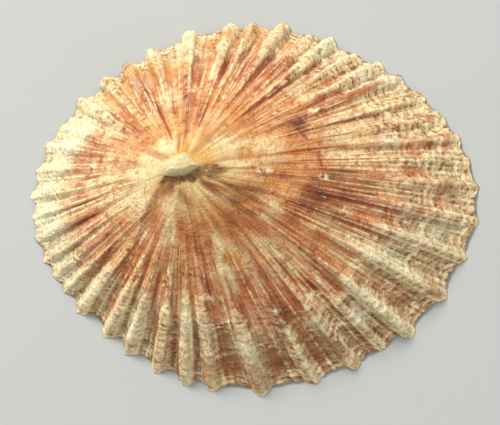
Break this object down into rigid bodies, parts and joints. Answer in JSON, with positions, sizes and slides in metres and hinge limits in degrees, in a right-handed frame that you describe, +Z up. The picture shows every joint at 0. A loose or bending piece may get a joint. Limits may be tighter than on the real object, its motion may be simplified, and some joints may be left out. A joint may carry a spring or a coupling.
{
  "type": "limpet shell",
  "caption": "Low conical limpet shell with radiating ribs, a scalloped margin and an open hollow underneath, lying on its margin.",
  "frame": {"origin": "on the surface that the shell rests on, under the middle of its margin's length and width", "axes": "+Z up through the hollow towards the peak, +X along the length towards the wide tail end, -X towards the head end, where the peak leans"},
  "size_m": [0.076, 0.0648, 0.0232],
  "materials": {
    "shell": "natural lime shell: satin, orange, rust and cream rays outside with a rough pale margin, smooth and glossier inside"
  },
  "bodies": {
    "root": {"shell": "shell"}
  },
  "joints": []
}
